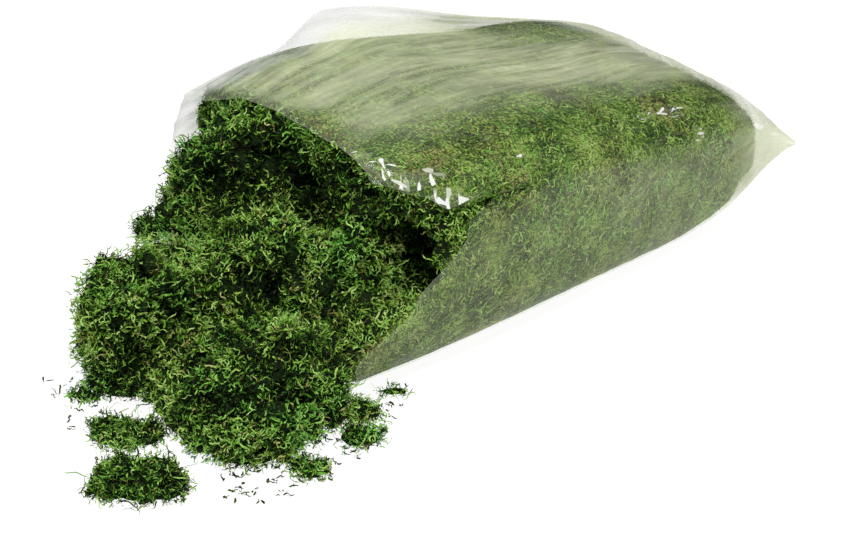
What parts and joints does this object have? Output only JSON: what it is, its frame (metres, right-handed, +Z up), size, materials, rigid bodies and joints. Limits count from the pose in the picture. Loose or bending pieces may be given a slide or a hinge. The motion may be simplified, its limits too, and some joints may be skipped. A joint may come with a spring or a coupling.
{
  "type": "dried moss",
  "caption": "Clear film bag of green dried moss lying on its side, cut open at one end, with loose clumps and tufts spilled out in a heap.",
  "frame": {"origin": "centre of the bag's flat underside near its mouth, on the floor plane, under the middle of the whole", "axes": "+X along the bag from the cut mouth to the closed seam, +Y across the bag to its far side, +Z up"},
  "size_m": [0.7021, 0.3571, 0.1775],
  "materials": {
    "film": "thin clear film with a whitish haze, soft wrinkles and small bright glints",
    "packed_moss": "matt felt of fine green and olive fronds pressed against the film",
    "moss": "matt tangled fine fronds, deep green with yellow-green tips and a few brown threads"
  },
  "bodies": {
    "root": {"plastic_bag": "film", "packed_moss": "packed_moss", "front_clump": "moss", "mouth_clump": "moss", "left_clump": "moss", "middle_clump": "moss", "upper_clump": "moss", "side_clump": "moss", "back_clump": "moss", "heap_base": "moss", "corner_clump": "moss", "front_left_tuft": "moss", "left_tuft": "moss", "side_tuft": "moss", "bag_side_tuft": "moss", "right_tuft": "moss", "right_front_tuft": "moss", "front_tuft": "moss"}
  },
  "joints": []
}
